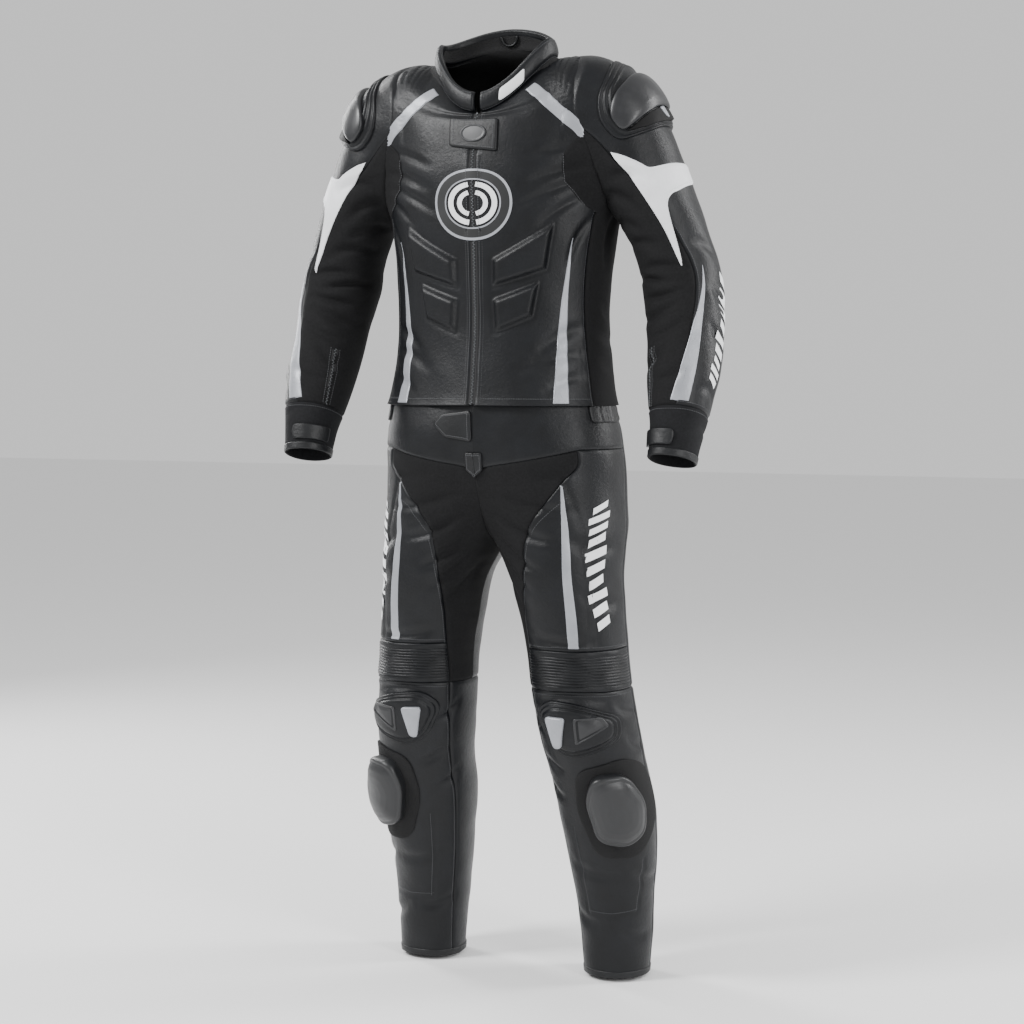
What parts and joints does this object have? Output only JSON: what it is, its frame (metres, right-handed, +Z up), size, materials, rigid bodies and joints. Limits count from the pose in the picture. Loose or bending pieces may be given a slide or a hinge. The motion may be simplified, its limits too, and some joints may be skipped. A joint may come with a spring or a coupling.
{
  "type": "motorcycle race suit",
  "caption": "Two-piece leather motorcycle race suit, empty and filled out, jacket over trousers, with stretch panels, knee accordions, shoulder armour and knee sliders",
  "frame": {"origin": "the middle of the neck opening, where the wearer's neck carries the suit", "axes": "+Z up, the front faces -Y, the wearer's left is +X"},
  "size_m": [0.7034, 0.2613, 1.4585],
  "materials": {
    "leather": "satin black cowhide with a fine grain",
    "stretch": "matt black ribbed stretch cloth",
    "silver": "silver-grey coated leather",
    "white": "white coated leather",
    "hard": "satin moulded plastic",
    "loop": "matt black loop pile",
    "metal": "dark metal zip"
  },
  "bodies": {
    "root": {"abdomen_pad_lower_left": "leather", "abdomen_pad_lower_right": "leather", "abdomen_pad_upper_left": "leather", "abdomen_pad_upper_right": "leather", "armhole_gusset_left": "stretch", "armhole_gusset_right": "stretch", "calf_back_left": "leather", "calf_back_right": "leather", "centre_zip": "metal", "collar": "leather", "crotch_panel_left": "stretch", "crotch_panel_right": "stretch", "cuff_left": "stretch", "cuff_right": "stretch", "cuff_strap_left": "leather", "cuff_strap_right": "leather", "fly_tab": "leather", "forearm_stripe_left": "silver", "forearm_stripe_right": "silver", "hip_yoke_left": "leather", "hip_yoke_right": "leather", "jacket_back": "leather", "jacket_front_left": "leather", "jacket_front_right": "leather", "knee_cup_left": "leather", "knee_cup_right": "leather", "knee_insert_left": "silver", "knee_insert_right": "silver", "knee_pleats_left": "leather", "knee_pleats_right": "leather", "knee_slider_left": "hard", "knee_slider_right": "hard", "neck_tab": "leather", "seat_back_left": "leather", "seat_back_right": "leather", "shin_front_left": "leather", "shin_front_right": "leather", "shoulder_base_left": "leather", "shoulder_base_right": "leather", "shoulder_shell_left": "hard", "shoulder_shell_right": "hard", "shoulder_stripe_left": "silver", "shoulder_stripe_right": "silver", "side_panel_left": "stretch", "side_panel_right": "stretch", "side_stripe_left": "silver", "side_stripe_right": "silver", "sleeve_inner_left": "stretch", "sleeve_inner_right": "stretch", "sleeve_outer_left": "leather", "sleeve_outer_right": "leather", "slider_base_left": "loop", "slider_base_right": "loop", "thigh_front_left": "leather", "thigh_front_right": "leather", "thigh_stripe_left": "silver", "thigh_stripe_right": "silver", "waist_strap": "leather", "white_panel_left": "white", "white_panel_right": "white"}
  },
  "joints": []
}
